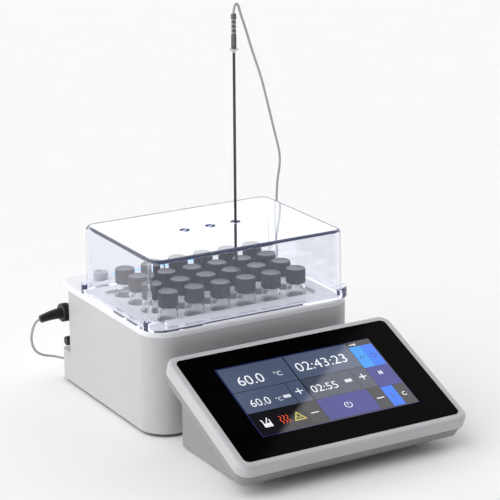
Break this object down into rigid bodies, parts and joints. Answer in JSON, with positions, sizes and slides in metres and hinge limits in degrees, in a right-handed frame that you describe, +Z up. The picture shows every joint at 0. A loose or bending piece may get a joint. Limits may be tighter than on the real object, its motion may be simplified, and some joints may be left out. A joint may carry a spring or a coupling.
{
  "type": "dry block heater",
  "caption": "Dry block heater with a clear cover over capped vials, an upright sample probe on a cable, and a separate tilted touch pad.",
  "frame": {"origin": "on the bench, under the middle of the box around heater and pad, without the probe's cable and plug", "axes": "+X to the right seen from the front, +Y to the rear, +Z up"},
  "size_m": [0.2805, 0.4025, 0.3556],
  "materials": {
    "housing_plastic": "fine satin texture, light grey",
    "deck_plastic": "satin white",
    "base_steel": "dark powder coat",
    "steel": "bright zinc",
    "rubber": "matt",
    "block_aluminium": "bead blasted, clear anodised",
    "silicone_mat": "smooth silicone",
    "insulation": "pressed ceramic fibre",
    "circuit_board": "solder mask",
    "electronics_black": "moulded",
    "white_nylon": "smooth",
    "connector_black": "moulded, low sheen",
    "brass_pins": "bright",
    "light_guide": "glowing translucent blue",
    "knob_plastic": "satin light grey",
    "clear_acrylic": "clear polished",
    "vial_glass": "clear",
    "cap_plastic": "black, ribbed side, satin top",
    "liner_white": "smooth",
    "probe_steel": "polished",
    "grip_grey": "moulded grey",
    "cable_grey": "smooth light grey",
    "bezel_plastic": "fine satin texture",
    "pad_case_plastic": "fine satin texture, warm grey",
    "pad_glass": "black glossy with a lit display",
    "display_module": "metal backed"
  },
  "bodies": {
    "heater": {"housing_shell": "housing_plastic", "top_deck": "deck_plastic", "base_plate": "base_steel", "base_screws": "steel", "rubber_feet": "rubber", "heating_block": "block_aluminium", "heater_mat": "silicone_mat", "clamp_plate": "steel", "clamp_screws": "steel", "insulation_jacket": "insulation", "block_posts": "steel", "block_sensor": "probe_steel", "thermal_fuse": "electronics_black", "control_board": "circuit_board", "board_standoffs": "white_nylon", "board_parts": "electronics_black", "power_supply": "steel", "mains_inlet": "connector_black", "inlet_pins": "brass_pins", "switch_frame": "connector_black", "rod_socket": "steel", "status_light": "light_guide", "light_board": "circuit_board", "probe_socket": "connector_black", "probe_plug": "connector_black", "plug_relief": "connector_black", "spare_socket": "connector_black", "probe_cable": "cable_grey"},
    "cover": {"clear_cover": "clear_acrylic"},
    "vials": {"vial_glass": "vial_glass", "vial_caps": "cap_plastic", "vial_liners": "liner_white"},
    "probe": {"probe_rod": "probe_steel", "probe_collar": "probe_steel", "probe_grip": "grip_grey"},
    "rocker": {"power_rocker": "connector_black"},
    "fuse_tray": {"fuse_drawer": "connector_black"},
    "deck_plug": {"rod_socket_plug": "knob_plastic"},
    "spare_cap": {"socket_cap": "connector_black"},
    "pad": {"pad_bezel": "bezel_plastic", "pad_glass": "pad_glass", "pad_display": "display_module", "pad_tray": "pad_case_plastic", "pad_board": "circuit_board", "pad_board_parts": "electronics_black", "pad_foot": "pad_case_plastic", "pad_port": "connector_black", "pad_rubber_feet": "rubber"}
  },
  "joints": [
    {"name": "cover_lift", "type": "slide", "parent": "heater", "child": "cover", "axis": [0, 0, 1], "range_m": [0, 0.12]},
    {"name": "vials_lift", "type": "slide", "parent": "heater", "child": "vials", "axis": [0, 0, 1], "range_m": [0, 0.034]},
    {"name": "probe_lift", "type": "slide", "parent": "heater", "child": "probe", "axis": [0, 0, 1], "range_m": [0, 0.045], "deforming": ["probe_cable"]},
    {"name": "rocker_tilt", "type": "hinge", "parent": "heater", "child": "rocker", "pos_m": [-0.0015, 0.1669, 0.042], "axis": [-1, 0, 0], "range_deg": [0, 16]},
    {"name": "fuse_slide", "type": "slide", "parent": "heater", "child": "fuse_tray", "axis": [0, 1, 0], "range_m": [0, 0.012]},
    {"name": "deck_plug_turn", "type": "hinge", "parent": "heater", "child": "deck_plug", "pos_m": [-0.0762, 0.1484, 0.096], "axis": [0, 0, 1], "range_deg": [0, 90]},
    {"name": "spare_cap_pull", "type": "slide", "parent": "heater", "child": "spare_cap", "axis": [-1, 0, 0], "range_m": [0, 0.01]},
    {"name": "pad_move", "type": "slide", "parent": "heater", "child": "pad", "axis": [0, -1, 0], "range_m": [0, 0.12]}
  ]
}
